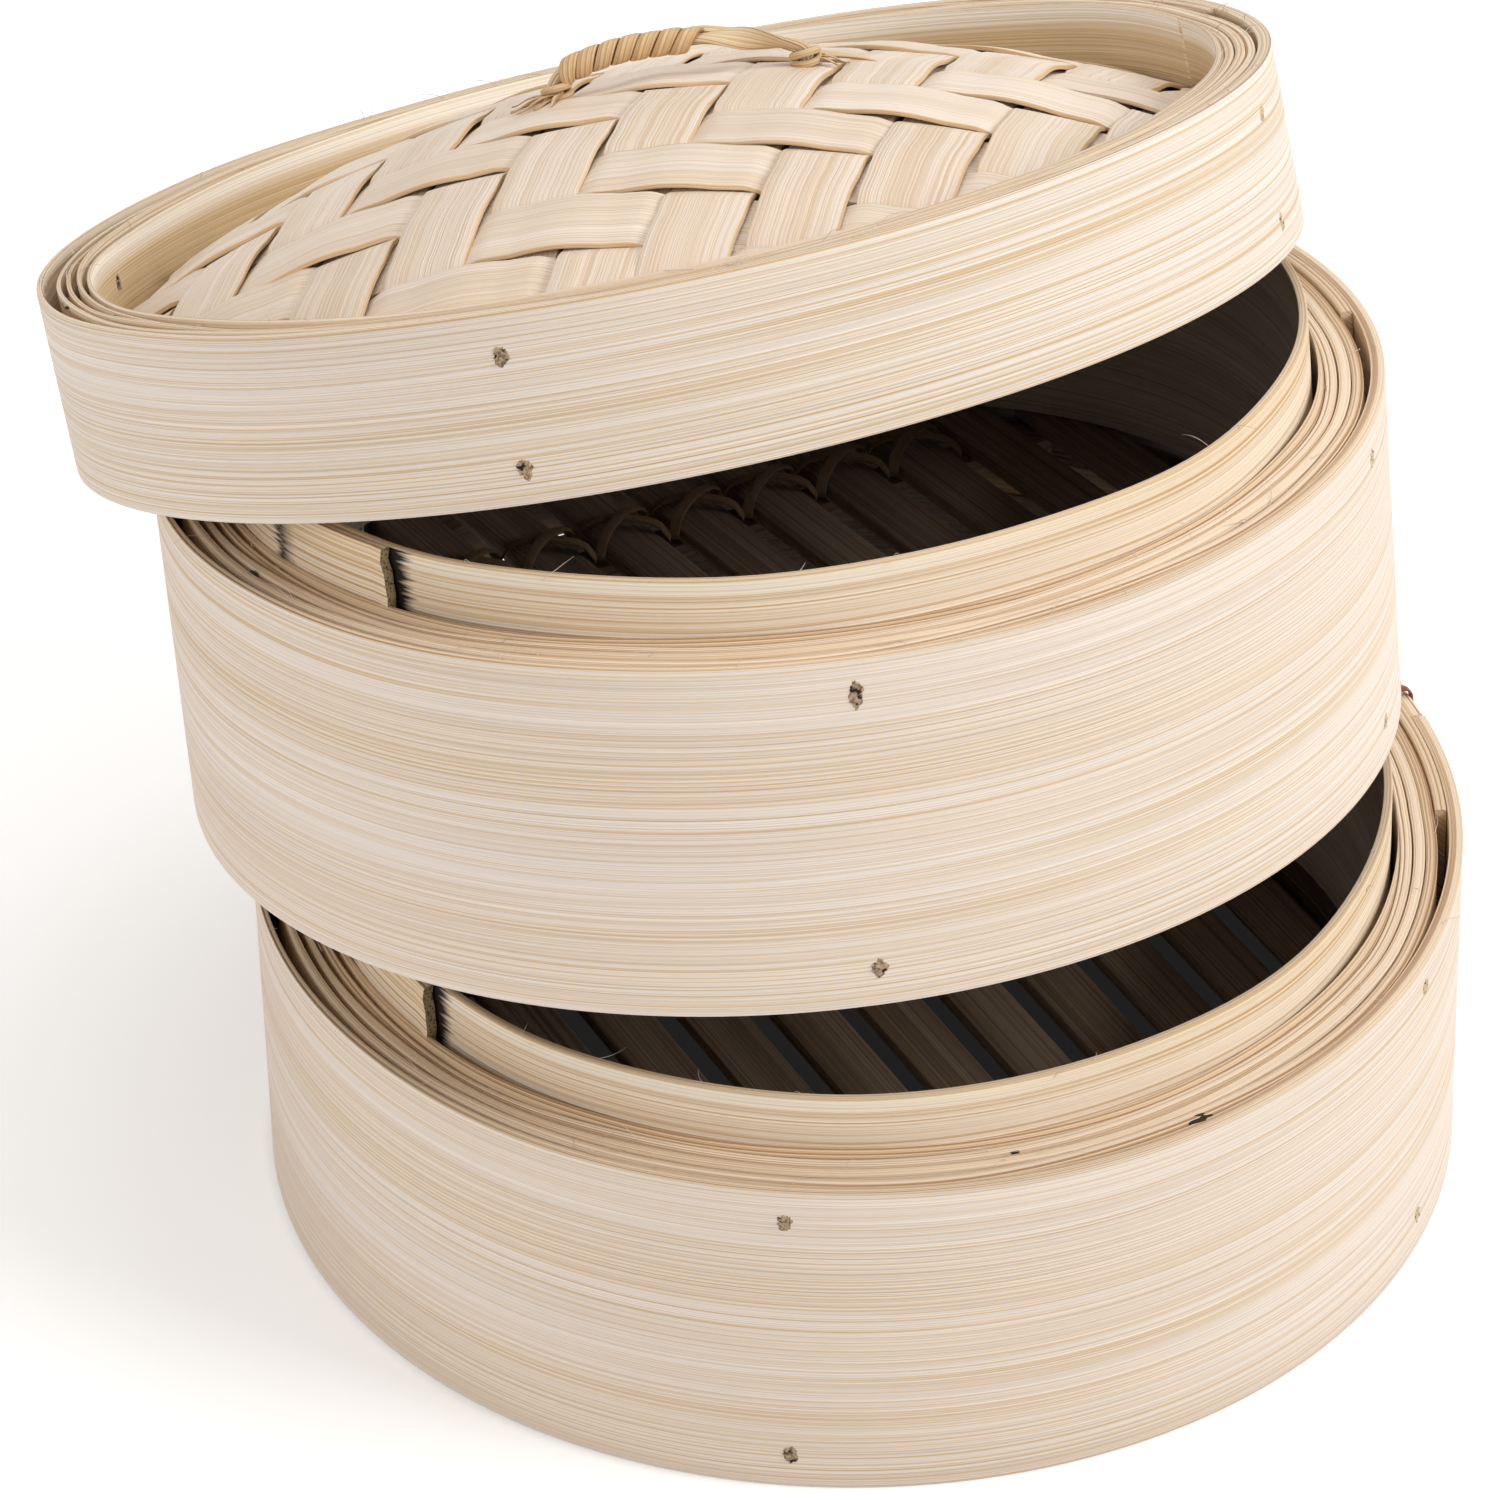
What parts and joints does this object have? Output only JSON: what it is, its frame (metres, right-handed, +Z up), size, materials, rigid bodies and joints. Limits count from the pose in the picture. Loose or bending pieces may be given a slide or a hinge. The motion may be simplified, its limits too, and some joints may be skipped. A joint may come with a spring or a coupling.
{
  "type": "steamer basket",
  "caption": "Tiered bamboo steamer with slatted floors, wound strip walls and a woven domed lid, standing ajar, each piece free to lift off the one below.",
  "frame": {"origin": "middle of the footprint box of the stack as it stands ajar, on the surface that it rests on", "axes": "+Z up, along the lower basket's axis; +Y to the back, towards which the upper basket and the lid lean; +X to the right"},
  "size_m": [0.2324, 0.2442, 0.197],
  "materials": {
    "pale_bamboo": "bare scraped bamboo, satin, with fine streaks along the strip",
    "inner_bamboo": "bare inner bamboo, matt, tan",
    "slat_bamboo": "split bamboo slats, matt",
    "woven_bamboo": "thin woven bamboo strips, satin",
    "cane_honey": "split cane with its glossy skin, honey",
    "peg_bamboo": "cut bamboo pegs, rough end grain"
  },
  "bodies": {
    "lower_basket": {"lower_collar_hoop": "inner_bamboo", "lower_wall_winding": "pale_bamboo", "lower_outer_hoop": "pale_bamboo", "lower_floor_ring": "inner_bamboo", "lower_brace_back": "slat_bamboo", "lower_brace_front": "slat_bamboo", "lower_floor_lashing": "cane_honey", "lower_slat_01": "slat_bamboo", "lower_slat_02": "slat_bamboo", "lower_slat_03": "slat_bamboo", "lower_slat_04": "slat_bamboo", "lower_slat_05": "slat_bamboo", "lower_slat_06": "slat_bamboo", "lower_slat_07": "slat_bamboo", "lower_slat_08": "slat_bamboo", "lower_slat_09": "slat_bamboo", "lower_slat_10": "slat_bamboo", "lower_slat_11": "slat_bamboo", "lower_slat_12": "slat_bamboo", "lower_peg_front_high": "peg_bamboo", "lower_peg_front_low": "peg_bamboo", "lower_peg_right_high": "peg_bamboo", "lower_peg_right_low": "peg_bamboo"},
    "upper_basket": {"upper_collar_hoop": "inner_bamboo", "upper_wall_winding": "pale_bamboo", "upper_outer_hoop": "pale_bamboo", "upper_floor_ring": "inner_bamboo", "upper_brace_back": "slat_bamboo", "upper_brace_front": "slat_bamboo", "upper_floor_lashing": "cane_honey", "upper_slat_01": "slat_bamboo", "upper_slat_02": "slat_bamboo", "upper_slat_03": "slat_bamboo", "upper_slat_04": "slat_bamboo", "upper_slat_05": "slat_bamboo", "upper_slat_06": "slat_bamboo", "upper_slat_07": "slat_bamboo", "upper_slat_08": "slat_bamboo", "upper_slat_09": "slat_bamboo", "upper_slat_10": "slat_bamboo", "upper_slat_11": "slat_bamboo", "upper_slat_12": "slat_bamboo", "upper_peg_front_high": "peg_bamboo", "upper_peg_front_low": "peg_bamboo", "upper_peg_right_high": "peg_bamboo", "upper_peg_right_low": "peg_bamboo"},
    "lid": {"lid_wall_winding": "pale_bamboo", "lid_outer_hoop": "pale_bamboo", "lid_retaining_hoop": "inner_bamboo", "lid_dome_weave": "woven_bamboo", "lid_dome_mat": "inner_bamboo", "lid_handle_core": "pale_bamboo", "lid_handle_wrap": "cane_honey", "lid_handle_knot_left": "cane_honey", "lid_handle_knot_right": "cane_honey", "lid_peg_front_high": "peg_bamboo", "lid_peg_front_low": "peg_bamboo", "lid_peg_right_high": "peg_bamboo", "lid_peg_right_low": "peg_bamboo"}
  },
  "joints": [
    {"name": "upper_basket_lift", "type": "slide", "parent": "lower_basket", "child": "upper_basket", "axis": [-0.0627, 0.1414, 0.988], "range_m": [0, 0.12]},
    {"name": "lid_lift", "type": "slide", "parent": "upper_basket", "child": "lid", "axis": [-0.1775, 0.3234, 0.9295], "range_m": [0, 0.1]}
  ]
}
